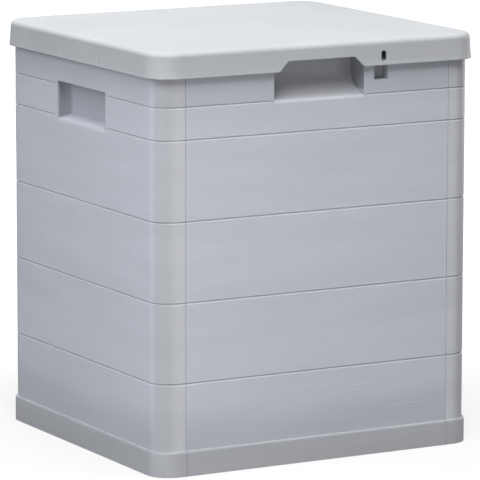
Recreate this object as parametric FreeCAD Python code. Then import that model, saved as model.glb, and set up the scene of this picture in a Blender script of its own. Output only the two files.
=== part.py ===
import FreeCAD, Part
import math
import os

V = FreeCAD.Vector

# Garden storage box of moulded resin: four wall panels, a floor, a lid and two hinge pins.
# All lengths are in millimetres. X runs along the front, Y to the back and Z up.
# Sections are drawn as (u, z), where u is how far a point stands out from the wall faces.

# Walls
BODY_WIDTH = 426.0
BODY_DEPTH = 395.0
WALL_TOP = 494.0
WALL = 3.0
CORNER_RADIUS = 26.0
RETURN_LENGTH = 9.0
SEAM_GAP = 0.5
EDGE_BREAK = 0.8
RIM_REACH = 11.0
RIM_THICKNESS = 2.6

# Boards marked on the walls by grooves, counted from the plinth up
BOTTOM_BOARD_TOP = 110.0
FULL_BOARDS = 3
NARROW_BOARD = 38.5
TOP_BOARD = 59.2
GROOVE_DEPTH = 0.9
GROOVE_ABOVE = 1.0
GROOVE_BELOW = 1.6
GROOVE_RIB_WIDTH = 3.0
GROOVE_RIB_DEPTH = 3.0

# Plinth round the foot of the walls, and the channel in it that holds the floor
PLINTH_HEIGHT = 30.0
PLINTH_STEP = 3.0
PLINTH_RADIUS = 2.6
LEDGE_BOTTOM = 14.0
LEDGE_THICKNESS = 3.0
LEDGE_REACH = 12.0

# Sliding joint between the panels
TONGUE_LAP = 12.0
TONGUE_THICKNESS = 2.4
TONGUE_ROOT = 7.0
HOOK_THICKNESS = 2.2
HOOK_LIP = 7.0
JOINT_ABOVE_PLINTH = 5.0
JOINT_BELOW_RIM = 3.0

# Fits shared by all pieces, and the laps of solids that are made as one
FIT = 0.3
BITE = 0.5
CUT_PAST = 1.0

# Floor
FLOOR_GAP = 0.5
FLOOR_PLATE = 2.5
FLOOR_SKIRT = 2.5
FLOOR_RIB = 2.0
FLOOR_RIBS_ACROSS = 10
FLOOR_RIBS_DEEP = 9
FLOOR_RIB_BOTTOM = 2.0

# Grip pocket at the top of the front panel
GRIP_WIDTH = 122.0
GRIP_DEPTH = 31.0
GRIP_LIP_RADIUS = 4.0
POCKET_WALL = 2.5

# Handle pockets in the side panels, measured from the two grooves they lie between
HANDLE_WIDTH = 126.0
HANDLE_DEPTH = 16.0
HANDLE_BELOW_GROOVE = 2.5
HANDLE_ABOVE_GROOVE = 4.0
HANDLE_RISE = 4.5
HANDLE_LIP_RADIUS = 6.0
HANDLE_CORNER_RADIUS = 10.0
HANDLE_BORDER = 5.0

# Lid
LID_WALL = 3.0
LID_HEADROOM = 3.0
LID_HEIGHT = 31.0
LID_OVERHANG = 6.5
LID_FLARE = 1.2
LID_BEAD = 0.6
LID_BEAD_HEIGHT = 1.4
LID_BEAD_SLOPE = 3.6
LID_EDGE_RADIUS = 7.0
SEAT_RIB_INSET = 5.0
SEAT_RIB = 2.0
LID_RIB = 2.0
LID_RIB_HEIGHT = 10.0
LID_RIBS_ACROSS = 9
LID_RIBS_DEEP = 8
LID_RIB_FIELD_INSET = 24.0
LID_RIB_FRONT_CLEAR = 8.0
LID_BOARD_WIDTH = 97.0
LID_FIRST_LINE = 46.0
LID_LINE_DEPTH = 0.7
LID_LINE_HALF_WIDTH = 0.8
LID_LINE_COUNT = 4

# Finger cut-out and padlock slot in the front skirt, heights from the skirt's bottom
CUTOUT_WIDTH = 114.6
CUTOUT_HEIGHT = 12.2
SLOT_RISE = 11.0
SLOT_WIDTH = 6.6
SLOT_HEIGHT = 12.8

# Recess behind the padlock slot, and the bar across it
HASP_X = 84.2
HASP_WIDTH = 19.0
HASP_DEPTH = 13.0
HASP_HEIGHT = 35.5
HASP_BELOW_RIM = 7.0
HASP_BAR_RISE = 1.5
HASP_BAR_HEIGHT = 4.5

# Hinges
HINGE_FROM_SIDE = 83.0
PIVOT_OUT = 12.5
OPEN_ANGLE = 95.0
BARREL_RADIUS = 4.9
BARREL_GAP = 0.6
PIN_RADIUS = 2.5
EAR_BORE_CLEARANCE = 0.05
KNUCKLE_BORE_CLEARANCE = 0.08
KNUCKLE_WIDTH = 24.0
EAR_WIDTH = 9.0
KNUCKLE_SIDE_GAP = 0.4
EAR_FOOT = 20.0
EAR_SHOULDER = 3.0
KNUCKLE_ROOT = 12.0
STOP_NOSE = 7.5
NOSE_THICKNESS = 3.4
PIN_HEAD_RADIUS = 4.2
PIN_HEAD_THICKNESS = 2.0
PIN_BULB_RADIUS = 2.9
PIN_TIP_RADIUS = 1.8
PIN_BULB_LENGTH = 2.4
PIN_END_PLAY = 0.3

# Values that follow from the ones above
HALF_W = BODY_WIDTH / 2
HALF_D = BODY_DEPTH / 2
SEAM = CORNER_RADIUS + RETURN_LENGTH
HALF_GAP = SEAM_GAP / 2
RIM_BOTTOM = WALL_TOP - RIM_THICKNESS
LEDGE_TOP = LEDGE_BOTTOM + LEDGE_THICKNESS
CHANNEL_TOP = PLINTH_HEIGHT - WALL
PLINTH_INSIDE = PLINTH_STEP - WALL
TOP_GROOVE = WALL_TOP - TOP_BOARD
NARROW_GROOVE = TOP_GROOVE - NARROW_BOARD
BOARD_HEIGHT = (NARROW_GROOVE - BOTTOM_BOARD_TOP) / FULL_BOARDS
GROOVES = [BOTTOM_BOARD_TOP + BOARD_HEIGHT * i for i in range(FULL_BOARDS + 1)] + [TOP_GROOVE]
JOINT_BOTTOM = PLINTH_HEIGHT + JOINT_ABOVE_PLINTH
JOINT_TOP = RIM_BOTTOM - JOINT_BELOW_RIM
HANDLE_BOTTOM = NARROW_GROOVE - HANDLE_BELOW_GROOVE
HANDLE_TOP = TOP_GROOVE + HANDLE_ABOVE_GROOVE
LID_UNDERSIDE = WALL_TOP + LID_HEADROOM
LID_TOP = LID_UNDERSIDE + LID_WALL
LID_SKIRT_BOTTOM = LID_TOP - LID_HEIGHT
SLOT_Z = LID_SKIRT_BOTTOM + SLOT_RISE
HASP_TOP = WALL_TOP - HASP_BELOW_RIM
HASP_BOTTOM = HASP_TOP - HASP_HEIGHT
HASP_BAR_BOTTOM = LID_SKIRT_BOTTOM + HASP_BAR_RISE
PIVOT_Z = LID_SKIRT_BOTTOM - BARREL_GAP - BARREL_RADIUS
HINGE_X = HALF_W - HINGE_FROM_SIDE
HINGE_REACH = PIVOT_OUT + STOP_NOSE
ORIGIN_SHIFT = (LID_OVERHANG + LID_BEAD - HINGE_REACH) / 2


def section(points):
    """Closed face in the XZ plane through (u, z) points; a triple (u, z, 'arc') is the middle of an arc."""
    edges = []
    i = 0
    count = len(points)
    while i < count:
        here = points[i]
        following = points[(i + 1) % count]
        if len(following) == 3:
            end = points[(i + 2) % count]
            arc = Part.Arc(V(here[0], 0, here[1]), V(following[0], 0, following[1]), V(end[0], 0, end[1]))
            edges.append(arc.toShape())
            i += 2
        else:
            edges.append(Part.LineSegment(V(here[0], 0, here[1]), V(following[0], 0, following[1])).toShape())
            i += 1
    return Part.Face(Part.Wire(edges))


def on_circle(centre, radius, degrees):
    """Point of a section on a circle."""
    angle = math.radians(degrees)
    return centre[0] + radius * math.cos(angle), centre[1] + radius * math.sin(angle)


def arc_middle(centre, radius, degrees):
    """Point of a section on an arc, marked as the arc's middle."""
    return on_circle(centre, radius, degrees) + ("arc",)


def turned(shape, degrees, x, y):
    """The shape turned about Z through the origin, then moved to x, y."""
    placed = shape.copy()
    placed.rotate(V(0, 0, 0), V(0, 0, 1), degrees)
    placed.translate(V(x, y, 0))
    return placed


def straight(face, degrees, x, y, length):
    """Section carried along a straight stretch that starts at x, y on the outline of the walls."""
    return turned(face.extrude(V(0, length, 0)), degrees, x, y)


def bend(face, degrees, x, y):
    """Section carried round a quarter turn whose centre is at x, y."""
    outer = face.copy()
    outer.translate(V(CORNER_RADIUS, 0, 0))
    return turned(outer.revolve(V(0, 0, 0), V(0, 0, 1), 90), degrees, x, y)


def joined(parts):
    """One solid from parts that touch or overlap, with its flat faces merged."""
    return parts[0].fuse(parts[1:]).removeSplitter()


def mirrored_x(shape):
    """Copy of the shape on the other side of the plane through the middle of the front."""
    return shape.mirror(V(0, 0, 0), V(1, 0, 0))


def mirrored_y(shape):
    """Copy of the shape on the other side of the plane through the middle of the sides."""
    return shape.mirror(V(0, 0, 0), V(0, 1, 0))


def block(x0, x1, y0, y1, z0, z1):
    """Box between two corners."""
    return Part.makeBox(x1 - x0, y1 - y0, z1 - z0, V(x0, y0, z0))


def plan_prism(points, z0, z1):
    """Prism on an outline of (x, y) points."""
    outline = Part.makePolygon([V(x, y, z0) for x, y in points + points[:1]])
    return Part.Face(outline).extrude(V(0, 0, z1 - z0))


def along_x(face, x0, x1):
    """Section read as (depth behind the front face, z), carried along the front from x0 to x1."""
    placed = turned(face, 90, 0, -HALF_D)
    placed.translate(V(x0, 0, 0))
    return placed.extrude(V(x1 - x0, 0, 0))


def rounded_slab(inset, z0, z1):
    """Slab with the outline of the walls, drawn in by an inset."""
    half_w = HALF_W - inset
    half_d = HALF_D - inset
    slab = block(-half_w, half_w, -half_d, half_d, z0, z1)
    uprights = [e for e in slab.Edges if abs(e.Vertexes[0].Z - e.Vertexes[-1].Z) > (z1 - z0) / 2]
    return slab.makeFillet(CORNER_RADIUS - inset, uprights)


def wall_section():
    """Upright section of every wall: plinth, board grooves, rim at the top, ledge for the floor."""
    r = min(PLINTH_RADIUS, PLINTH_STEP)
    shoulder = (PLINTH_STEP - r, PLINTH_HEIGHT - r)
    points = [(PLINTH_STEP, 0)]
    points += [on_circle(shoulder, r, degrees) for degrees in (0, 30, 60, 90)]
    points.append((0, PLINTH_HEIGHT))
    for z in GROOVES:
        points += [(0, z - GROOVE_BELOW), (-GROOVE_DEPTH, z), (0, z + GROOVE_ABOVE)]
    points += [
        (0, WALL_TOP - EDGE_BREAK),
        (-EDGE_BREAK, WALL_TOP),
        (-RIM_REACH, WALL_TOP),
        (-RIM_REACH, RIM_BOTTOM),
        (-WALL, RIM_BOTTOM),
        (-WALL, CHANNEL_TOP),
        (PLINTH_INSIDE, CHANNEL_TOP),
        (PLINTH_INSIDE, LEDGE_TOP),
        (-LEDGE_REACH, LEDGE_TOP),
        (-LEDGE_REACH, LEDGE_BOTTOM),
        (PLINTH_INSIDE, LEDGE_BOTTOM),
        (PLINTH_INSIDE, 0),
    ]
    return section(points)


def groove_rib_sections():
    """Sections of the ribs that back the wall behind each groove."""
    half = GROOVE_RIB_WIDTH / 2
    inner = -WALL - GROOVE_RIB_DEPTH
    outer = -WALL + BITE
    corners = [(outer, -half), (outer, half), (inner, half), (inner, -half)]
    return [section([(u, z + dz) for u, dz in corners]) for z in GROOVES]


def tongue():
    """Tongue at the front right seam: stands on the side panel and laps behind the front panel."""
    seam_x = HALF_W - SEAM
    front = -HALF_D
    near = front + WALL + FIT
    far = near + TONGUE_THICKNESS
    root = front + WALL - BITE
    outline = [
        (seam_x + HALF_GAP, root),
        (seam_x + HALF_GAP + TONGUE_ROOT, root),
        (seam_x + HALF_GAP + TONGUE_ROOT, far),
        (seam_x - TONGUE_LAP, far),
        (seam_x - TONGUE_LAP, near),
        (seam_x + HALF_GAP, near),
    ]
    return plan_prism(outline, JOINT_BOTTOM, JOINT_TOP)


def hook():
    """Hooked rib at the front right seam: stands on the front panel and holds the tongue."""
    seam_x = HALF_W - SEAM
    front = -HALF_D
    tip_x = seam_x - TONGUE_LAP
    behind = front + WALL + FIT + TONGUE_THICKNESS + FIT
    root = front + WALL - BITE
    outline = [
        (tip_x - FIT - HOOK_THICKNESS, root),
        (tip_x - FIT, root),
        (tip_x - FIT, behind),
        (tip_x + HOOK_LIP, behind),
        (tip_x + HOOK_LIP, behind + HOOK_THICKNESS),
        (tip_x - FIT - HOOK_THICKNESS, behind + HOOK_THICKNESS),
    ]
    return plan_prism(outline, JOINT_BOTTOM, JOINT_TOP)


def handle_floor(depth):
    """Height of the handle pocket's lower side at a depth, before its lip is rounded: it rises inwards."""
    return HANDLE_BOTTOM + HANDLE_RISE * depth / HANDLE_DEPTH


def handle_plan(grow):
    """Outline of the right handle pocket seen from above, grown by a wall, as a tall bar: round inner corners."""
    depth = HANDLE_DEPTH + grow
    half = HANDLE_WIDTH / 2 + grow
    radius = min(HANDLE_CORNER_RADIUS, HANDLE_DEPTH - HANDLE_LIP_RADIUS) + grow
    centre = (HALF_W - depth + radius, half - radius)
    corner = [on_circle(centre, radius, degrees) for degrees in (90, 112.5, 135, 157.5, 180)]
    side = [(HALF_W + CUT_PAST, half)] + corner
    return plan_prism(side + [(x, -y) for x, y in reversed(side)], NARROW_GROOVE - BOARD_HEIGHT, WALL_TOP)


def handle_block():
    """Wall of the right handle pocket, before its hollow is cut."""
    depth = HANDLE_DEPTH + POCKET_WALL
    half = HANDLE_WIDTH / 2 + POCKET_WALL
    top = HANDLE_TOP + POCKET_WALL
    low = [(0, handle_floor(0) - POCKET_WALL), (-depth, handle_floor(depth) - POCKET_WALL)]
    wall = straight(section(low + [(-depth, top), (0, top)]), 0, HALF_W, -half, 2 * half)
    return wall.common(handle_plan(POCKET_WALL))


def handle_hollow():
    """Hollow of the right handle pocket: a round lip that runs into the rising lower side."""
    slant = math.atan(HANDLE_RISE / HANDLE_DEPTH)
    lip = (-HANDLE_LIP_RADIUS, handle_floor(HANDLE_LIP_RADIUS) - HANDLE_LIP_RADIUS / math.cos(slant))
    meet = 90 - math.degrees(slant)
    face = section([
        (CUT_PAST, lip[1]),
        (0, lip[1]),
        arc_middle(lip, HANDLE_LIP_RADIUS, meet / 2),
        on_circle(lip, HANDLE_LIP_RADIUS, meet),
        (-HANDLE_DEPTH, handle_floor(HANDLE_DEPTH)),
        (-HANDLE_DEPTH, HANDLE_TOP),
        (CUT_PAST, HANDLE_TOP),
    ])
    return straight(face, 0, HALF_W, -HANDLE_WIDTH / 2, HANDLE_WIDTH).common(handle_plan(0))


def right_side_panel():
    """Side panel with both corner posts, returning round the corners to the seams."""
    wall = wall_section()
    arm = RETURN_LENGTH - HALF_GAP
    corner_x = HALF_W - CORNER_RADIUS
    corner_y = HALF_D - CORNER_RADIUS
    parts = [
        straight(wall, 0, HALF_W, -corner_y, 2 * corner_y),
        bend(wall, 270, corner_x, -corner_y),
        bend(wall, 0, corner_x, corner_y),
        straight(wall, 270, corner_x - arm, -HALF_D, arm),
        straight(wall, 90, corner_x, HALF_D, arm),
        tongue(),
        mirrored_y(tongue()),
        handle_block(),
    ]
    parts += [straight(rib, 0, HALF_W, -corner_y, 2 * corner_y) for rib in groove_rib_sections()]
    land = HANDLE_WIDTH / 2 + HANDLE_BORDER
    parts.append(block(HALF_W - WALL + BITE, HALF_W, -land, land, HANDLE_BOTTOM, HANDLE_TOP))
    return joined(parts).cut(handle_hollow())


def grip_block():
    """Wall of the grip pocket, before its hollow is cut: its lower side and back are a quarter circle."""
    half = GRIP_WIDTH / 2 + POCKET_WALL
    centre = (0, TOP_GROOVE + GRIP_DEPTH)
    radius = GRIP_DEPTH + POCKET_WALL
    points = [on_circle(centre, radius, -90), arc_middle(centre, radius, -45), on_circle(centre, radius, 0)]
    points += [(radius, WALL_TOP), (0, WALL_TOP)]
    return along_x(section(points), -half, half)


def grip_hollow():
    """Hollow of the grip pocket: a round lip that runs into a quarter circle scoop, open to front and top."""
    half = GRIP_WIDTH / 2
    scoop = (0, TOP_GROOVE + GRIP_DEPTH)
    apart = GRIP_DEPTH + GRIP_LIP_RADIUS
    drop = math.sqrt(apart ** 2 - GRIP_LIP_RADIUS ** 2)
    lip = (GRIP_LIP_RADIUS, scoop[1] - drop)
    meet = math.degrees(math.atan2(drop, -GRIP_LIP_RADIUS))
    points = [
        (0, lip[1]),
        arc_middle(lip, GRIP_LIP_RADIUS, (180 + meet) / 2),
        on_circle(lip, GRIP_LIP_RADIUS, meet),
        arc_middle(scoop, GRIP_DEPTH, (meet - 180) / 2),
        (GRIP_DEPTH, scoop[1]),
        (GRIP_DEPTH, LID_TOP),
        (-CUT_PAST, LID_TOP),
        (-CUT_PAST, lip[1]),
    ]
    return along_x(section(points), -half, half)


def hasp_block(z0, z1, grow, y0, y1):
    """Box as wide as the padlock recess, grown on both sides."""
    half = HASP_WIDTH / 2 + grow
    return block(HASP_X - half, HASP_X + half, -HALF_D + y0, -HALF_D + y1, z0, z1)


def front_panel():
    """Front panel between the seams, with the grip pocket and the padlock recess."""
    half = HALF_W - SEAM - HALF_GAP
    rib_half = HALF_W - SEAM - TONGUE_LAP - FIT
    grip_half = GRIP_WIDTH / 2
    groove_low = TOP_GROOVE - GROOVE_BELOW - BITE
    hasp_low = HASP_BOTTOM - POCKET_WALL
    hasp_high = HASP_TOP + POCKET_WALL
    parts = [
        straight(wall_section(), 270, -half, -HALF_D, 2 * half),
        hook(),
        mirrored_x(hook()),
        grip_block(),
        block(-grip_half, grip_half, -HALF_D, -HALF_D + WALL, groove_low, TOP_GROOVE + GROOVE_ABOVE),
        hasp_block(hasp_low, hasp_high, POCKET_WALL, WALL - BITE, HASP_DEPTH + POCKET_WALL),
    ]
    parts += [straight(rib, 270, -rib_half, -HALF_D, 2 * rib_half) for rib in groove_rib_sections()]
    hollows = [grip_hollow(), hasp_block(HASP_BOTTOM, HASP_TOP, 0, -CUT_PAST, HASP_DEPTH)]
    bar = hasp_block(HASP_BAR_BOTTOM, HASP_BAR_BOTTOM + HASP_BAR_HEIGHT, BITE, 0, WALL)
    return joined(parts).cut(hollows).fuse(bar).removeSplitter()


def on_barrel(degrees):
    """Point (y, z) on the round of a hinge barrel, about the pivot."""
    return on_circle((0, 0), BARREL_RADIUS, degrees)


def hinge_plate(points, x0, width):
    """Plate across the hinge with an outline of (y, z) points about the pivot."""
    outline = [V(x0, HALF_D + PIVOT_OUT + y, PIVOT_Z + z) for y, z in points + points[:1]]
    return Part.Face(Part.makePolygon(outline)).extrude(V(width, 0, 0))


def ear_points():
    """Outline of a hinge ear: a foot on the wall, and a nose on which the open lid comes to rest."""
    wall_face = -PIVOT_OUT - BITE
    skirt = PIVOT_OUT - LID_OVERHANG - LID_BEAD - FIT
    stop = math.radians(OPEN_ANGLE)
    rest_here = skirt / math.sin(stop)
    rest_tip = (skirt + STOP_NOSE * math.cos(stop)) / math.sin(stop)
    return [
        (wall_face, EAR_SHOULDER),
        (0, rest_here),
        (STOP_NOSE, rest_tip),
        (STOP_NOSE, rest_tip - NOSE_THICKNESS),
        on_barrel(-50),
        on_barrel(-90),
        (wall_face, -EAR_FOOT),
    ]


def cylinder_x(radius, x0, length):
    """Round bar along X on the hinge pivot."""
    return Part.makeCylinder(radius, length, V(x0, HALF_D + PIVOT_OUT, PIVOT_Z), V(1, 0, 0))


def hinge_ears():
    """The two ears of the right hinge."""
    inner = KNUCKLE_WIDTH / 2 + KNUCKLE_SIDE_GAP
    ears = []
    for x0 in (HINGE_X - inner - EAR_WIDTH, HINGE_X + inner):
        ears += [hinge_plate(ear_points(), x0, EAR_WIDTH), cylinder_x(BARREL_RADIUS, x0, EAR_WIDTH)]
    return ears


def rear_panel():
    """Rear panel between the seams, with the ears of both hinges."""
    half = HALF_W - SEAM - HALF_GAP
    rib_half = HALF_W - SEAM - TONGUE_LAP - FIT
    rear_hook = mirrored_y(hook())
    parts = [straight(wall_section(), 90, half, HALF_D, 2 * half), rear_hook, mirrored_x(rear_hook)]
    parts += [straight(rib, 90, rib_half, HALF_D, 2 * rib_half) for rib in groove_rib_sections()]
    for ear in hinge_ears():
        parts += [ear, mirrored_x(ear)]
    reach = KNUCKLE_WIDTH / 2 + KNUCKLE_SIDE_GAP + EAR_WIDTH + CUT_PAST
    bore = cylinder_x(PIN_RADIUS + EAR_BORE_CLEARANCE, HINGE_X - reach, 2 * reach)
    return joined(parts).cut([bore, mirrored_x(bore)])


def floor_panel():
    """Floor tray: its edge is held in the plinth's channel, and ribs stiffen it from below."""
    top = CHANNEL_TOP - FIT
    under = top - FLOOR_PLATE
    inset = FLOOR_GAP - PLINTH_INSIDE
    tray = rounded_slab(inset, LEDGE_TOP + FIT, top)
    tray = tray.cut(rounded_slab(inset + FLOOR_SKIRT, LEDGE_TOP, under))
    rib_inset = LEDGE_REACH + FLOOR_GAP
    half_w = HALF_W - rib_inset
    half_d = HALF_D - rib_inset
    parts = [tray]
    for i in range(FLOOR_RIBS_ACROSS):
        x = -half_w + (2 * half_w - FLOOR_RIB) * i / (FLOOR_RIBS_ACROSS - 1)
        parts.append(block(x, x + FLOOR_RIB, -half_d, half_d, FLOOR_RIB_BOTTOM, under + BITE))
    for i in range(FLOOR_RIBS_DEEP):
        y = -half_d + (2 * half_d - FLOOR_RIB) * i / (FLOOR_RIBS_DEEP - 1)
        parts.append(block(-half_w, half_w, y, y + FLOOR_RIB, FLOOR_RIB_BOTTOM, under + BITE))
    ribs = joined(parts[1:]).common(rounded_slab(rib_inset, FLOOR_RIB_BOTTOM, under + BITE))
    return joined([tray, ribs])


def lid_section():
    """Edge of the lid: flared skirt with a bead, rounded top edge, and the rib that seats on the walls."""
    out = LID_OVERHANG
    upper = out - LID_FLARE
    r = LID_EDGE_RADIUS
    ri = r - LID_WALL
    bead_top = LID_SKIRT_BOTTOM + LID_BEAD_HEIGHT
    seat_outer = -SEAT_RIB_INSET
    seat_inner = seat_outer - SEAT_RIB
    seat_z = WALL_TOP + FIT
    inner_face = upper - LID_WALL
    return section([
        (out + LID_BEAD, LID_SKIRT_BOTTOM),
        (out + LID_BEAD, bead_top),
        (out, bead_top + LID_BEAD_SLOPE),
        (upper, LID_TOP - r),
        arc_middle((upper - r, LID_TOP - r), r, 45),
        (upper - r, LID_TOP),
        (-CORNER_RADIUS, LID_TOP),
        (-CORNER_RADIUS, LID_UNDERSIDE),
        (seat_inner, LID_UNDERSIDE),
        (seat_inner, seat_z),
        (seat_outer, seat_z),
        (seat_outer, LID_UNDERSIDE),
        (inner_face - ri, LID_UNDERSIDE),
        on_circle((inner_face - ri, LID_UNDERSIDE - ri), ri, 45),
        (inner_face, LID_UNDERSIDE - ri),
        (out - LID_WALL, LID_SKIRT_BOTTOM),
    ])


def lid_shell():
    """Edge section carried all the way round, closed by the flat middle of the top."""
    edge = lid_section()
    corner_x = HALF_W - CORNER_RADIUS
    corner_y = HALF_D - CORNER_RADIUS
    return joined([
        block(-corner_x, corner_x, -corner_y, corner_y, LID_UNDERSIDE, LID_TOP),
        straight(edge, 0, HALF_W, -corner_y, 2 * corner_y),
        bend(edge, 0, corner_x, corner_y),
        straight(edge, 90, corner_x, HALF_D, 2 * corner_x),
        bend(edge, 90, -corner_x, corner_y),
        straight(edge, 180, -HALF_W, corner_y, 2 * corner_y),
        bend(edge, 180, -corner_x, -corner_y),
        straight(edge, 270, -corner_x, -HALF_D, 2 * corner_x),
        bend(edge, 270, corner_x, -corner_y),
    ])


def lid_ribs():
    """Crossed ribs under the lid, inside the walls and behind the grip pocket."""
    half_w = HALF_W - LID_RIB_FIELD_INSET
    back = HALF_D - LID_RIB_FIELD_INSET
    front = -HALF_D + GRIP_DEPTH + POCKET_WALL + LID_RIB_FRONT_CLEAR
    bottom = LID_UNDERSIDE - LID_RIB_HEIGHT
    ribs = []
    for i in range(LID_RIBS_ACROSS):
        x = -half_w + (2 * half_w - LID_RIB) * i / (LID_RIBS_ACROSS - 1)
        ribs.append(block(x, x + LID_RIB, front, back, bottom, LID_UNDERSIDE + BITE))
    for i in range(LID_RIBS_DEEP):
        y = front + (back - front - LID_RIB) * i / (LID_RIBS_DEEP - 1)
        ribs.append(block(-half_w, half_w, y, y + LID_RIB, bottom, LID_UNDERSIDE + BITE))
    return ribs


def lid_lines():
    """V grooves down the flare of the side skirts, where the lid's boards meet."""
    past = LID_BEAD + CUT_PAST
    half = LID_LINE_HALF_WIDTH * (LID_LINE_DEPTH + past) / LID_LINE_DEPTH
    face = HALF_W + LID_OVERHANG
    low = LID_SKIRT_BOTTOM - CUT_PAST
    height = LID_TOP + CUT_PAST - low
    lean = LID_FLARE / (LID_TOP - LID_EDGE_RADIUS - LID_SKIRT_BOTTOM)
    grooves = []
    for i in range(LID_LINE_COUNT):
        y = -HALF_D + LID_FIRST_LINE + LID_BOARD_WIDTH * i
        root = V(face - LID_LINE_DEPTH, y, low)
        outline = [root, V(face + past, y - half, low), V(face + past, y + half, low)]
        groove = Part.Face(Part.makePolygon(outline + outline[:1])).extrude(V(-lean * height, 0, height))
        grooves += [groove, mirrored_x(groove)]
    return grooves


def finger_cutout(front, reach):
    """Finger cut-out in the front skirt, its ends slanted at 45 degrees."""
    low = LID_SKIRT_BOTTOM - CUT_PAST
    high = LID_SKIRT_BOTTOM + CUTOUT_HEIGHT
    wide = CUTOUT_WIDTH / 2 + CUT_PAST
    narrow = CUTOUT_WIDTH / 2 - CUTOUT_HEIGHT
    outline = [V(-wide, front, low), V(wide, front, low), V(narrow, front, high), V(-narrow, front, high)]
    return Part.Face(Part.makePolygon(outline + outline[:1])).extrude(V(0, reach, 0))


def padlock_slot(front, reach):
    """Upright slot with round ends in the front skirt."""
    r = SLOT_WIDTH / 2
    arm = SLOT_HEIGHT / 2 - r
    return joined([
        block(HASP_X - r, HASP_X + r, front, front + reach, SLOT_Z - arm, SLOT_Z + arm),
        Part.makeCylinder(r, reach, V(HASP_X, front, SLOT_Z - arm), V(0, 1, 0)),
        Part.makeCylinder(r, reach, V(HASP_X, front, SLOT_Z + arm), V(0, 1, 0)),
    ])


def lid_knuckles():
    """Knuckles that hang from the rear skirt and turn on the pins."""
    skirt_inside = LID_OVERHANG - LID_WALL + FIT - PIVOT_OUT
    skirt_outside = LID_OVERHANG - LID_FLARE / 2 - PIVOT_OUT
    skirt_bottom = LID_SKIRT_BOTTOM - PIVOT_Z
    points = [
        (skirt_inside, skirt_bottom + KNUCKLE_ROOT / 2),
        (skirt_inside, skirt_bottom),
        on_barrel(225),
        on_barrel(80),
        (skirt_outside, skirt_bottom + KNUCKLE_ROOT),
    ]
    x0 = HINGE_X - KNUCKLE_WIDTH / 2
    arm = hinge_plate(points, x0, KNUCKLE_WIDTH)
    barrel = cylinder_x(BARREL_RADIUS, x0, KNUCKLE_WIDTH)
    return [arm, barrel, mirrored_x(arm), mirrored_x(barrel)]


def lid():
    """Lid with its ribs, notches, cut-outs and hinge knuckles."""
    front = -HALF_D - LID_OVERHANG - LID_BEAD - CUT_PAST
    reach = -HALF_D - FIT - front
    body = joined([lid_shell()] + lid_ribs() + lid_knuckles())
    bore = cylinder_x(PIN_RADIUS + KNUCKLE_BORE_CLEARANCE, HINGE_X - KNUCKLE_WIDTH, 2 * KNUCKLE_WIDTH)
    openings = [finger_cutout(front, reach), padlock_slot(front, reach), bore, mirrored_x(bore)]
    return body.cut(lid_lines() + openings)


def hinge_pin():
    """Pin of the right hinge: a flat head, a plain shank and a rounded end that snaps through the ear."""
    half = KNUCKLE_WIDTH / 2 + KNUCKLE_SIDE_GAP + EAR_WIDTH
    end = half + PIN_END_PLAY
    shank = cylinder_x(PIN_RADIUS, HINGE_X - end, 2 * end)
    head = cylinder_x(PIN_HEAD_RADIUS, HINGE_X - end - PIN_HEAD_THICKNESS, PIN_HEAD_THICKNESS)
    base = V(HINGE_X + end, HALF_D + PIVOT_OUT, PIVOT_Z)
    bulb = Part.makeCone(PIN_BULB_RADIUS, PIN_TIP_RADIUS, PIN_BULB_LENGTH, base, V(1, 0, 0))
    return joined([shank, head, bulb])


def save(name, shape):
    """Write one piece, with the origin under the middle of the whole box, hinges included."""
    placed = shape.copy()
    placed.translate(V(0, ORIGIN_SHIFT, 0))
    solids = placed.Solids
    print(name, "solids", len(solids), "valid", placed.isValid(), "volume", round(placed.Volume))
    out = solids[0] if len(solids) == 1 else placed
    out.exportStep(os.path.join("parts", name + ".step"))


os.makedirs("parts", exist_ok=True)
side = right_side_panel()
pin = hinge_pin()
save("front_panel", front_panel())
save("rear_panel", rear_panel())
save("right_side_panel", side)
save("left_side_panel", mirrored_x(side))
save("floor_panel", floor_panel())
save("lid", lid())
save("right_hinge_pin", pin)
save("left_hinge_pin", mirrored_x(pin))
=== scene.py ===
import bmesh
import bpy
import math
from mathutils import Matrix, Vector


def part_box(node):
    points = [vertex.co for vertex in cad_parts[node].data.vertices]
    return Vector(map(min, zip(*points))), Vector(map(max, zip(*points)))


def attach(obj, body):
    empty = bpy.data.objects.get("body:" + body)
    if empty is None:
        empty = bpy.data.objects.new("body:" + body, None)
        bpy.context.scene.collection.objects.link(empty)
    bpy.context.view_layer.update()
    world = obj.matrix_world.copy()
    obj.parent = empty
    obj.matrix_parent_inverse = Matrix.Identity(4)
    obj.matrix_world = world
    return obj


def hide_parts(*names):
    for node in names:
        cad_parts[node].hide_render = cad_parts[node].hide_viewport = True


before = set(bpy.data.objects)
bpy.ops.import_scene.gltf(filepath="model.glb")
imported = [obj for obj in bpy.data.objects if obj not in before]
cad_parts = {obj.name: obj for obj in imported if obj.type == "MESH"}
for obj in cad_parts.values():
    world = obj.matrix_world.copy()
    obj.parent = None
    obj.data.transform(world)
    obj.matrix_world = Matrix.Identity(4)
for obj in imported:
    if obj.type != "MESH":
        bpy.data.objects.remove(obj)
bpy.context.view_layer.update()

# Garden storage box of moulded resin. Lengths are in metres, X along the front, Y to the back, Z up.
MM = 0.001


def past(place, *lengths):
    """The places that lie so many millimetres past a place."""
    return [place + length * MM for length in lengths]


def mm(*lengths):
    """Lengths in millimetres, turned into metres."""
    return past(0.0, *lengths)


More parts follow.
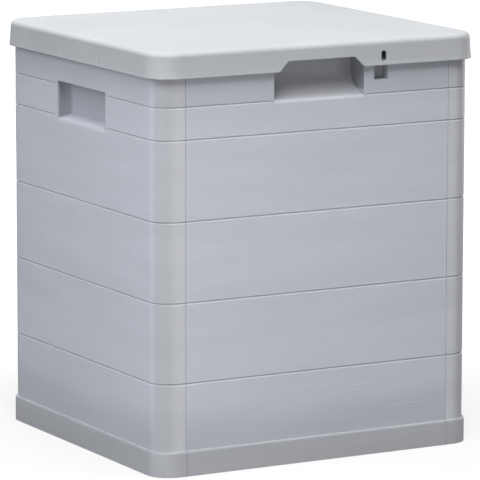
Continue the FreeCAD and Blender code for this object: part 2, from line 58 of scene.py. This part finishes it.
# Plan of the walls above the plinth's step: a rectangle with round corners, and the seams in its front
WALL_LOW, WALL_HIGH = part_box("left_side_panel")
PLINTH_STEP = 3.0 * MM
CORNER_RADIUS = 26.0 * MM
SEAM_FROM_SIDE = 35.0 * MM
BODY_SHIFT = (WALL_LOW.y + WALL_HIGH.y) / 2
HALF_WIDTH = -WALL_LOW.x - PLINTH_STEP
HALF_DEPTH = (WALL_HIGH.y - WALL_LOW.y) / 2 - PLINTH_STEP
FRONT = BODY_SHIFT - HALF_DEPTH
BEND_X = HALF_WIDTH - CORNER_RADIUS
BEND_Y = HALF_DEPTH - CORNER_RADIUS
SEAM = HALF_WIDTH - SEAM_FROM_SIDE

# Heights of the plinth, of the top board's foot in its groove, and of the lid's skirt and rounded top edge
PLINTH_TOP = 30.0 * MM
TOP_BOARD = 59.6 * MM
TOP_BOARD_FOOT = WALL_HIGH.z - TOP_BOARD
LID_HEIGHT = 31.0 * MM
LID_ROUND = 7.0 * MM
LID_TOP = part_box("lid")[1].z
SKIRT_BOTTOM = LID_TOP - LID_HEIGHT
SKIRT_ROUND = LID_TOP - LID_ROUND

# How far the skirt stands out from the walls at its foot, how much less at its top, and the padlock slot
SKIRT_OUT = 6.5 * MM
SKIRT_FLARE = 1.2 * MM
SKIRT_LEAN = SKIRT_FLARE / (SKIRT_ROUND - SKIRT_BOTTOM)
PADLOCK_X = 84.2 * MM
SLOT_RISE = 11.0 * MM
SLOT_Z = SKIRT_BOTTOM + SLOT_RISE

# Edges that get a narrow round: those near a wall's face, round the lid's skirt and in the pockets
SHARP_FROM = math.radians(28)
EDGE_BREAK = 0.3 * MM
PIN_BREAK = 0.25 * MM
WALL_SKIN = 2.9 * MM
SKIRT_INSIDE = 3.4 * MM
SKIRT_EDGE = 0.2 * MM
CUT_OUT_EDGE = 15.0 * MM
GRIP_HALF = 62.0 * MM
GRIP_LOW = 430.0 * MM
HANDLE_HALF = 64.0 * MM
HANDLE_REACH = 16.2 * MM
HANDLE_LOW, HANDLE_HIGH = mm(389, 439)

# How near points are welded, and how little an edge may bend to be taken out of a flat face
WELD = 0.002 * MM
FLAT_WITHIN = math.radians(0.4)

# One light grey resin. The smooth lid is a little deeper, and the grained boards read paler and cooler.
POST_TONE = (0.518, 0.530, 0.563, 1.0)
RETURN_TONE = (0.684, 0.700, 0.746, 1.0)
LID_TONE = (0.520, 0.535, 0.556, 1.0)
BOARD_TONE = (0.674, 0.694, 0.764, 1.0)

# Surface: roughness, gloss, and the height in millimetres of the fine texture and the wood grain
PANEL_ROUGHNESS = 0.52
LID_ROUGHNESS = 0.64
PIN_ROUGHNESS = 0.45
ROUGHNESS_SPREAD = 0.08
RESIN_IOR = 1.49
RESIN_SPECULAR = 0.35
FINE_HEIGHT = 0.010
GRAIN_HEIGHT = 0.09

# Noises: their waves in a metre, detail and roughness, and how the clouds go from dark to pale
FINE_NOISE = (1400.0, 2.0, 0.6)
LID_CLOUDS = (9.0, 3.0, 0.55)
CLOUD_SPAN = (0.3, 0.7)
CLOUD_DARK = 0.975
CLOUD_PALE = 1.025

# Noises of the boards: waves in a metre along and up, layer, and for some the detail and roughness
RING_NOISE = (2.6, 13.0, 0.7, 1.0, 0.4)
PATCH_NOISE = (4.0, 11.0, 3.1)
PORE_NOISE = (30.0, 480.0, 0.3)
SPARSE_NOISE = (9.0, 38.0, 5.3)
BOARD_CLOUDS = (6.0, 34.0, 1.7, 3.0, 0.55)

# Wood grain: how close, sharp and strong its rings are, and spans that leave rings and pores in patches
RING_CLOSENESS = 130.0
RING_SHARPNESS = 4.0
RING_STRENGTH = 0.4
PATCH_SPAN = (0.50, 0.64)
PORE_SPAN = (0.56, 0.68)
SPARSE_SPAN = (0.44, 0.66)

# Where the plinth's top, the boards, the wall's return beside them and the grain between the posts fade
ABOVE_PLINTH = past(PLINTH_TOP, -0.2, 0)
SEAM_EDGE = past(SEAM, 0, 1)
SIDE_BOARD_END = past(BEND_Y, 4, 14)
RETURN_END = past(BEND_X, -2, 15)
POST_START = past(BEND_Y, -1, 0)

# Places out from the wall faces, minus being inwards: the boards, the skin with grain, and the grooves
# and all that lies further in, where painted shade darkens the colour
FRONT_BOARD_OUT = mm(-9, -2)
SIDE_BOARD_OUT = mm(-20, -17)
SKIN_OUT = mm(-0.5, -0.2)
GROOVE_OUT = mm(-0.3, -0.03)

# Painted shade: shares by which the resin's colour is darkened in grooves, lines, recesses, pocket ends,
# the padlock slot, under the lid and down at the plinth, where little light comes, and on the plinth's
# shoulder to dim its highlight. The sides get only a part of the painted shadow under the eaves.
GROOVE_SHADE = 0.14
LINE_SHADE = 0.30
RECESS_SHADE = 0.7
END_SHADE = 0.5
CORNER_SHADE = 0.38
SLOT_SHADE = 0.75
FOOT_SHADE = 0.15
EAVES_SHADE = 0.105
SIDE_EAVES = 0.4
SHOULDER_SHADE = 0.34

# Padlock recess, whose top gets painted shade: to each side of its middle, behind the front, and upwards
RECESS_HALF = mm(10, 11)
RECESS_DEPTH = mm(6, 9, 16, 17)
RECESS_RISE = mm(472, 478)

# Handle pockets' ends, with painted shade: from the middle of the side, out from its face, and upwards
HANDLE_END = mm(48, 60, 63.1, 63.4)
HANDLE_OUT = mm(-17.5, -16.5, -3, -0.5)
HANDLE_RISE = mm(388, 389, 439, 440)

# Grip pocket, whose ends and right corner get painted shade: behind the front, its two ends and their foot,
# and the right corner that little light reaches
GRIP_DEPTH = mm(0.3, 2, 31, 32)
GRIP_END = mm(59.5, 60.8, 61.5, 61.8)
GRIP_RISE = mm(440, 442)
GRIP_WIDTH = mm(61, 61.8)
FAR_CORNER = mm(24, 66)
FAR_CORNER_RISE = mm(446, 458)

# Where painted shade stands in for fading light: down to the plinth and up to the lid; and on the
# plinth's shoulder, where it dims the highlight
FOOT_TOP = 98.0 * MM
EAVES_LOW = TOP_BOARD_FOOT + 4.0 * MM
EAVES_HIGH = SKIRT_BOTTOM - 3.0 * MM
TOP_BOARD_RISE = past(TOP_BOARD_FOOT, -0.5, 0)
SIDE_FACE = past(HALF_WIDTH, -4, -2)
SHOULDER_RISE = past(PLINTH_TOP, -2.4, -0.6, 1, 2)
SHOULDER_OUT = mm(0.02, 0.3)

# Lines down the lid's side skirts and walls of its padlock slot, which get painted shade,
# with their depth behind the skirt's face
LINE_SIDE = past(HALF_WIDTH, 4, 4.5)
LINE_END = mm(170, 171)
LINE_TOP = past(SKIRT_ROUND, 0, 2)
LINE_DEPTH = mm(-0.5, -0.1)
SLOT_HALF_WIDTH = mm(3.6, 3.8)
SLOT_HALF_HEIGHT = mm(6.7, 6.9)
SLOT_BACK = past(FRONT, -2, -1)
SLOT_DEPTH = mm(-0.12, -0.02)

# Studio: the camera sees its floor and surroundings as white, and the lamps at the left are a little cool
WHITE = (1.0, 1.0, 1.0, 1.0)
NEUTRAL = (1.0, 1.0, 1.0)
COOL = (0.98, 1.0, 1.045)
FLOOR_GREY = (0.20, 0.20, 0.20, 1.0)
FLOOR_REACH = 12.0
FLOOR_NEAR = 0.3
FLOOR_FAR = 1.1
NEAR_GLOW = 0.72
WORLD_LIGHT = 0.13

# Camera: place and sight in metres, turns in radians, lens and sensor in millimetres
CAMERA_PLACE = (-2.3755, -4.27895, 1.0745)
CAMERA_HEADING = -0.5081
CAMERA_DIP = 0.1699
CAMERA_ROLL = 0.0015
CAMERA_LENS = 304.34
CAMERA_SENSOR = 36.0
CAMERA_SIGHT = 50.0


def in_sight(node, place):
    """True where an edge of a node is seen from outside or in a pocket, and so gets its narrow round."""
    across = abs(place.x) - HALF_WIDTH
    deep = abs(place.y - BODY_SHIFT) - HALF_DEPTH
    in_wall_skin = max(across, deep) > -WALL_SKIN
    if node == "lid":
        near = CUT_OUT_EDGE if place.y < 0 else SKIRT_EDGE
        return max(across, deep) > SKIRT_INSIDE and abs(place.z - SKIRT_BOTTOM) < near
    if node == "front_panel":
        in_grip = place.y < 0 and abs(place.x) < GRIP_HALF and place.z > GRIP_LOW
        return deep > -WALL_SKIN or in_grip
    if node.endswith("side_panel"):
        at_handle = abs(place.y - BODY_SHIFT) < HANDLE_HALF and HANDLE_LOW < place.z < HANDLE_HIGH
        return in_wall_skin or (at_handle and across > -HANDLE_REACH)
    return node != "floor_panel" and in_wall_skin


def copy_of(node):
    """Copy of a solid's mesh, with its loose triangles welded and its flat faces made whole.

    Its sharp edges that are in sight are marked to be rounded.
    """
    welded = bmesh.new()
    welded.from_mesh(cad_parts[node].data)
    bmesh.ops.remove_doubles(welded, verts=welded.verts, dist=WELD)
    bmesh.ops.dissolve_limit(
        welded, angle_limit=FLAT_WITHIN, verts=welded.verts, edges=welded.edges,
        use_dissolve_boundaries=False, delimit=set()
    )
    bmesh.ops.connect_verts_concave(welded, faces=welded.faces)
    rounding = welded.edges.layers.float.new("bevel_weight_edge")
    for edge in welded.edges:
        sharp = edge.is_manifold and edge.calc_face_angle(0.0) > SHARP_FROM
        middle = (edge.verts[0].co + edge.verts[1].co) / 2
        edge[rounding] = 1.0 if sharp and in_sight(node, middle) else 0.0
    mesh = bpy.data.meshes.new(node + "_moulding")
    welded.to_mesh(mesh)
    welded.free()
    if "custom_normal" in mesh.attributes:
        mesh.attributes.remove(mesh.attributes["custom_normal"])
    mesh.materials.clear()
    return mesh


def moulded(node, body, material, edge=EDGE_BREAK):
    """The finished moulding of a node: its copy, with each sharp edge in sight broken by a narrow round."""
    piece = bpy.data.objects.new(node + "_moulding", copy_of(node))
    bpy.context.scene.collection.objects.link(piece)
    piece.data.shade_smooth()
    piece.data.set_sharp_from_angle(angle=SHARP_FROM)
    piece.data.materials.append(material)
    bevel = piece.modifiers.new("edge_break", "BEVEL")
    bevel.width = edge
    bevel.segments = 2
    bevel.limit_method = "WEIGHT"
    bevel.use_clamp_overlap = True
    bevel.miter_outer = "MITER_ARC"
    shading = piece.modifiers.new("even_shading", "WEIGHTED_NORMAL")
    shading.weight = 100
    shading.keep_sharp = True
    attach(piece, body)
    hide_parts(node)


class Nodes:
    """Short hand for the node tree of a material or of the world."""

    def __init__(self, owner):
        owner.use_nodes = True
        self.tree = owner.node_tree
        self.tree.nodes.clear()

    def add(self, kind, **settings):
        """A new node of a kind, with its settings."""
        node = self.tree.nodes.new("ShaderNode" + kind)
        for key, value in settings.items():
            setattr(node, key, value)
        return node

    def link(self, source, target):
        """Leads one node's output to another's socket."""
        self.tree.links.new(source, target)

    def feed(self, socket, value):
        """Sets a socket to a plain value, or links another node's output to it."""
        if isinstance(value, (int, float, tuple)):
            socket.default_value = value
        else:
            self.link(value, socket)

    def math(self, operation, a, b=0.0):
        """One operation on two values, or on the first alone."""
        node = self.add("Math", operation=operation)
        self.feed(node.inputs[0], a)
        self.feed(node.inputs[1], b)
        return node.outputs[0]

    def size(self, value):
        """A value without its sign."""
        return self.math("ABSOLUTE", value)

    def product(self, *factors):
        """All the factors multiplied together."""
        total = factors[0]
        for factor in factors[1:]:
            total = self.math("MULTIPLY", total, factor)
        return total

    def most(self, *values):
        """The greatest of several values."""
        total = values[0]
        for value in values[1:]:
            total = self.math("MAXIMUM", total, value)
        return total

    def ramp(self, value, low, high, start=0.0, end=1.0):
        """A smooth step, from start where the value is low or less to end where it is high or more."""
        node = self.add("MapRange", interpolation_type="SMOOTHSTEP")
        self.feed(node.inputs["Value"], value)
        self.feed(node.inputs["From Min"], low)
        self.feed(node.inputs["From Max"], high)
        self.feed(node.inputs["To Min"], start)
        self.feed(node.inputs["To Max"], end)
        return node.outputs["Result"]

    def fall(self, value, low, high, start=1.0):
        """A smooth step from start down to 0."""
        return self.ramp(value, low, high, start, 0.0)

    def band(self, value, foot, start, end, stop):
        """1 from start to end, fading to 0 at foot and at stop."""
        return self.product(self.ramp(value, foot, start), self.fall(value, end, stop))

    def noise(self, vector, scale, detail=2.0, roughness=0.5):
        """Soft noise from 0 to 1, with about so many waves in one unit of the vector."""
        node = self.add("TexNoise")
        self.feed(node.inputs["Vector"], vector)
        self.feed(node.inputs["Scale"], scale)
        self.feed(node.inputs["Detail"], detail)
        self.feed(node.inputs["Roughness"], roughness)
        return node.outputs["Fac"]

    def streaks(self, along, z, waves_along, waves_up, layer, detail=2.0, roughness=0.5):
        """Noise drawn out along the boards, with so many waves in a metre along them and up them.

        Each layer of it looks different.
        """
        place = self.combine(self.product(along, waves_along), layer, self.product(z, waves_up))
        return self.noise(place, 1.0, detail, roughness)

    def colour(self, value):
        """One colour all over."""
        node = self.add("RGB")
        node.outputs[0].default_value = value
        return node.outputs[0]

    def mix(self, factor, a, b):
        """Colour a where the factor is 0, b where it is 1, and their blend between."""
        node = self.add("Mix", data_type="RGBA", blend_type="MIX")
        self.feed(node.inputs["Factor"], factor)
        self.feed(node.inputs[6], a)
        self.feed(node.inputs[7], b)
        return node.outputs[2]

    def scaled(self, colour, factor):
        """A colour multiplied by a factor."""
        node = self.add("VectorMath", operation="SCALE")
        self.feed(node.inputs[0], colour)
        self.feed(node.inputs["Scale"], factor)
        return node.outputs[0]

    def combine(self, x, y, z):
        """The vector with these three values as its axes."""
        node = self.add("CombineXYZ")
        for socket, value in zip(node.inputs, (x, y, z)):
            self.feed(socket, value)
        return node.outputs["Vector"]

    def length(self, vector):
        """The root of the sum of the squares of a vector's axes."""
        node = self.add("VectorMath", operation="LENGTH")
        self.feed(node.inputs[0], vector)
        return node.outputs["Value"]

    def for_camera(self, unseen, seen, output):
        """Ends the tree, with one shader for light that bounces and one for what the camera sees."""
        choice = self.add("MixShader")
        self.link(self.add("LightPath").outputs["Is Camera Ray"], choice.inputs["Fac"])
        self.link(unseen.outputs[0], choice.inputs[1])
        self.link(seen.outputs[0], choice.inputs[2])
        self.link(choice.outputs[0], self.add(output).inputs["Surface"])


def outline(n, x, y):
    """How far a point is across from the middle, how deep, and how far it stands out from the wall faces.

    The last is its distance from the rectangle between the middles of the round corners, less their radius.
    """
    across = n.size(x)
    deep = n.size(n.math("SUBTRACT", y, BODY_SHIFT))
    past_x = n.most(n.math("SUBTRACT", across, BEND_X), 0.0)
    past_y = n.most(n.math("SUBTRACT", deep, BEND_Y), 0.0)
    outward = n.math("SUBTRACT", n.length(n.combine(past_x, past_y, 0.0)), CORNER_RADIUS)
    return across, deep, outward


def board_masks(n, x, y, z):
    """Four masks: the boards, the wall's return beside them in front, the skin with grain, and the grooves
    with all that lies further in, where the colour gets painted shade.

    Each is the product of smooth steps across, to the back, out from the wall faces and up.
    """
    across, deep, outward = outline(n, x, y)
    above_plinth = n.ramp(z, *ABOVE_PLINTH)
    inside_seams = n.fall(across, *SEAM_EDGE)
    front = n.product(inside_seams, n.ramp(outward, *FRONT_BOARD_OUT))
    side = n.product(n.fall(deep, *SIDE_BOARD_END), n.ramp(outward, *SIDE_BOARD_OUT))
    board = n.product(n.most(front, side), above_plinth)
    beside = n.product(n.fall(across, *RETURN_END), above_plinth)
    grained = n.most(inside_seams, n.fall(deep, *POST_START))
    skin = n.product(grained, above_plinth, n.ramp(outward, *SKIN_OUT))
    return board, beside, skin, n.fall(outward, *GROOVE_OUT)


def wood_grain(n, along, z):
    """Pressed wood grain: growth rings and short fine pores along the boards, both in patches.

    The rings are the contour lines of a slow noise: a sine wave of it, its crests narrowed by a power.
    The pores are where a noise that is close up the board, and long along it, is high.
    """
    wave = n.math("SINE", n.product(n.streaks(along, z, *RING_NOISE), RING_CLOSENESS))
    crest = n.math("POWER", n.math("ADD", n.product(wave, 0.5), 0.5), RING_SHARPNESS)
    patch = n.ramp(n.streaks(along, z, *PATCH_NOISE), *PATCH_SPAN)
    pores = n.ramp(n.streaks(along, z, *PORE_NOISE), *PORE_SPAN)
    sparse = n.ramp(n.streaks(along, z, *SPARSE_NOISE), *SPARSE_SPAN)
    return n.math("ADD", n.product(crest, patch, RING_STRENGTH), n.product(pores, sparse))


def painted_hollow_shade(n, x, y, z):
    """Painted shade of the padlock recess's top, of the pockets' ends, and of the grip pocket's right
    corner.

    Each is the product of steps and bands in three directions, and the darkest counts.
    """
    across, deep, outward = outline(n, x, y)
    behind = n.math("SUBTRACT", y, FRONT)
    beside_padlock = n.size(n.math("SUBTRACT", x, PADLOCK_X))
    recess = n.product(
        n.fall(beside_padlock, *RECESS_HALF), n.band(behind, *RECESS_DEPTH), n.ramp(z, *RECESS_RISE)
    )
    handle_end = n.product(
        n.band(deep, *HANDLE_END), n.band(outward, *HANDLE_OUT), n.band(z, *HANDLE_RISE)
    )
    in_grip = n.band(behind, *GRIP_DEPTH)
    grip_end = n.product(n.band(across, *GRIP_END), in_grip, n.ramp(z, *GRIP_RISE))
    far_corner = n.product(
        n.ramp(x, *FAR_CORNER), n.fall(across, *GRIP_WIDTH), in_grip, n.ramp(z, *FAR_CORNER_RISE)
    )
    return n.most(
        n.product(recess, RECESS_SHADE), n.product(n.most(handle_end, grip_end), END_SHADE),
        n.product(far_corner, CORNER_SHADE)
    )


def painted_scarce_light(n, x, y, z, board):
    """Painted shade of the boards under the lid and down at the plinth, and of the plinth's rounded
    shoulder.

    The first two fade with height, the third is a band of heights that dims the shoulder's highlight, and
    the darkest counts.
    """
    across, _, outward = outline(n, x, y)
    low = n.product(n.fall(z, PLINTH_TOP, FOOT_TOP, FOOT_SHADE), board)
    high = n.product(
        n.fall(z, EAVES_LOW, EAVES_HIGH, EAVES_SHADE), n.ramp(z, *TOP_BOARD_RISE),
        n.ramp(across, *SIDE_FACE, 1.0, SIDE_EAVES), n.ramp(outward, *FRONT_BOARD_OUT)
    )
    shoulder = n.product(n.band(z, *SHOULDER_RISE), n.ramp(outward, *SHOULDER_OUT), SHOULDER_SHADE)
    return n.most(low, high, shoulder)


def painted_lid_shade(n, x, y, z):
    """Painted shade of the lid: the lines between the boards of its side skirts, and the padlock slot's
    walls.

    The skirt's outer face leans in as it rises, so depths are counted from its place at each height.
    """
    across, deep, outward = outline(n, x, y)
    rise = n.math("SUBTRACT", z, SKIRT_BOTTOM)
    skirt_face = n.math("SUBTRACT", SKIRT_OUT, n.product(rise, SKIRT_LEAN))
    behind = n.math("SUBTRACT", outward, skirt_face)
    on_side = n.product(n.ramp(across, *LINE_SIDE), n.fall(deep, *LINE_END))
    lines = n.product(n.fall(behind, *LINE_DEPTH), on_side, n.fall(z, *LINE_TOP), LINE_SHADE)
    slot = n.product(
        n.fall(n.size(n.math("SUBTRACT", x, PADLOCK_X)), *SLOT_HALF_WIDTH),
        n.fall(n.size(n.math("SUBTRACT", z, SLOT_Z)), *SLOT_HALF_HEIGHT),
        n.fall(y, *SLOT_BACK), n.fall(behind, *SLOT_DEPTH), SLOT_SHADE
    )
    return n.most(lines, slot)


def matt_surface(n, tone, shade, cloud, height, roughness):
    """Ends a material's tree as matt resin with relief.

    Its colour is the tone times what the painted shade leaves, a little darker or paler by the cloud,
    and its roughness goes up and down with the cloud by half the spread.
    """
    lit = n.scaled(tone, n.math("SUBTRACT", 1.0, shade))
    clouded = n.mix(n.ramp(cloud, *CLOUD_SPAN), n.scaled(lit, CLOUD_DARK), n.scaled(lit, CLOUD_PALE))
    smoothest = roughness - ROUGHNESS_SPREAD / 2
    bump = n.add("Bump")
    n.feed(bump.inputs["Strength"], 1.0)
    n.feed(bump.inputs["Distance"], MM)
    n.link(height, bump.inputs["Height"])
    shader = n.add("BsdfPrincipled")
    n.feed(shader.inputs["IOR"], RESIN_IOR)
    n.feed(shader.inputs["Specular IOR Level"], RESIN_SPECULAR)
    n.link(clouded, shader.inputs["Base Color"])
    n.link(n.math("ADD", n.product(cloud, ROUGHNESS_SPREAD), smoothest), shader.inputs["Roughness"])
    n.link(bump.outputs["Normal"], shader.inputs["Normal"])
    n.link(shader.outputs["BSDF"], n.add("OutputMaterial").inputs["Surface"])


def resin(name, base=POST_TONE, boards=False, roughness=PANEL_ROUGHNESS):
    """Matt moulded resin: fine even texture all over, and a faint wood grain pressed into the boards."""
    material = bpy.data.materials.new(name)
    n = Nodes(material)
    place = n.add("TexCoord").outputs["Object"]
    axes = n.add("SeparateXYZ")
    n.link(place, axes.inputs[0])
    x, y, z = axes.outputs
    height = n.product(n.noise(place, *FINE_NOISE), FINE_HEIGHT)
    if boards:
        along = n.math("ADD", x, y)
        board, beside, skin, groove = board_masks(n, x, y, z)
        cloud = n.streaks(along, z, *BOARD_CLOUDS)
        height = n.math("ADD", height, n.product(wood_grain(n, along, z), skin, GRAIN_HEIGHT))
        tone = n.mix(board, n.mix(beside, base, RETURN_TONE), BOARD_TONE)
        # Painted shade in the grooves and all further in, reaching partly onto the grooves' rounded edges
        # to dim their highlight
        grooves = n.product(groove, GROOVE_SHADE)
        shade = n.most(grooves, painted_hollow_shade(n, x, y, z), painted_scarce_light(n, x, y, z, board))
    else:
        cloud = n.noise(place, *LID_CLOUDS)
        tone = n.colour(base)
        shade = painted_lid_shade(n, x, y, z)
    matt_surface(n, tone, shade, cloud, height, roughness)
    return material


def floor():
    """Grey floor that the camera sees as white, with the box's shadow on it.

    Its glow grows to full strength away from the box.
    """
    mesh = bpy.data.meshes.new("studio_floor")
    reach = FLOOR_REACH
    corners = [(-reach, -reach, 0), (reach, -reach, 0), (reach, reach, 0), (-reach, reach, 0)]
    mesh.from_pydata(corners, [], [(0, 1, 2, 3)])
    plane = bpy.data.objects.new("studio_floor", mesh)
    bpy.context.scene.collection.objects.link(plane)
    material = bpy.data.materials.new("studio_floor")
    n = Nodes(material)
    diffuse = n.add("BsdfDiffuse")
    n.feed(diffuse.inputs["Color"], FLOOR_GREY)
    away = n.length(n.add("TexCoord").outputs["Object"])
    glow = n.add("Emission")
    n.feed(glow.inputs["Color"], WHITE)
    n.feed(glow.inputs["Strength"], n.ramp(away, FLOOR_NEAR, FLOOR_FAR, NEAR_GLOW, 1.0))
    both = n.add("AddShader")
    n.link(diffuse.outputs[0], both.inputs[0])
    n.link(glow.outputs[0], both.inputs[1])
    n.for_camera(diffuse, both, "OutputMaterial")
    mesh.materials.append(material)


def studio_world(strength):
    """Even pale surroundings that the camera sees as white."""
    world = bpy.data.worlds.new("studio")
    bpy.context.scene.world = world
    n = Nodes(world)
    light = n.add("Background")
    n.feed(light.inputs["Color"], WHITE)
    n.feed(light.inputs["Strength"], strength)
    white = n.add("Background")
    n.feed(white.inputs["Color"], WHITE)
    n.feed(white.inputs["Strength"], 1.0)
    n.for_camera(light, white, "OutputWorld")


def softbox(name, place, target, width, height, power, tint=NEUTRAL):
    """Rectangular soft light at a place, turned to face a target."""
    data = bpy.data.lights.new(name, "AREA")
    data.color = tint
    data.shape = "RECTANGLE"
    data.size = width
    data.size_y = height
    data.energy = power
    lamp = bpy.data.objects.new(name, data)
    lamp.location = place
    lamp.rotation_euler = (Vector(target) - Vector(place)).to_track_quat("-Z", "Y").to_euler()
    lamp.visible_camera = False
    bpy.context.scene.collection.objects.link(lamp)


def photographer():
    """Camera where the photograph was taken from: left of the front and a little above the lid.

    It is turned to its heading, dipped below the level, and rolled about its line of sight.
    """
    data = bpy.data.cameras.new("photographer")
    data.sensor_width = CAMERA_SENSOR
    data.lens = CAMERA_LENS
    data.clip_end = CAMERA_SIGHT
    camera = bpy.data.objects.new("photographer", data)
    heading = Matrix.Rotation(CAMERA_HEADING, 4, "Z")
    dip = Matrix.Rotation(math.pi / 2 - CAMERA_DIP, 4, "X")
    roll = Matrix.Rotation(CAMERA_ROLL, 4, "Z")
    camera.matrix_world = Matrix.Translation(CAMERA_PLACE) @ heading @ dip @ roll
    bpy.context.scene.collection.objects.link(camera)
    bpy.context.scene.camera = camera


board_resin = resin("board_resin", boards=True)
smooth_resin = resin("smooth_resin", base=LID_TONE, roughness=LID_ROUGHNESS)
pin_resin = resin("pin_resin", roughness=PIN_ROUGHNESS)

moulded("front_panel", "box", board_resin)
moulded("rear_panel", "box", board_resin)
moulded("left_side_panel", "box", board_resin)
moulded("right_side_panel", "box", board_resin)
moulded("floor_panel", "box", smooth_resin)
moulded("lid", "lid", smooth_resin)
moulded("left_hinge_pin", "box", pin_resin, edge=PIN_BREAK)
moulded("right_hinge_pin", "box", pin_resin, edge=PIN_BREAK)

floor()
studio_world(WORLD_LIGHT)

# Lamps: place, target, width and height in metres, then power in watts
softbox("high_middle", (0.0, -1.0, 4.4), (0, -0.2, 0.4), 3.2, 1.6, 116)
softbox("high_front_left", (-1.2, -2.6, 4.2), (0, -0.2, 0.4), 2.2, 2.2, 122)
softbox("high_back", (0.0, 1.3, 2.4), (0, 0, 0.4), 2.0, 1.0, 14.5)
softbox("left", (-2.2, 0.0, 1.9), (-0.2, 0, 0.4), 0.8, 1.6, 16.5, COOL)
softbox("right", (2.4, 0.6, 0.4), (0, 0, 0.25), 1.2, 0.5, 17)
softbox("rear", (0.6, 2.4, 0.4), (0, 0, 0.25), 1.2, 0.5, 15)
softbox("left_fill", (-0.75, -0.32, 0.34), (-0.2, -0.18, 0.24), 0.4, 0.5, 0.64, COOL)
softbox("front_fill", (-0.18, -0.67, 0.27), (-0.1, -0.2, 0.21), 0.35, 0.4, 0.34)

photographer()
bpy.context.scene.view_settings.view_transform = "Standard"
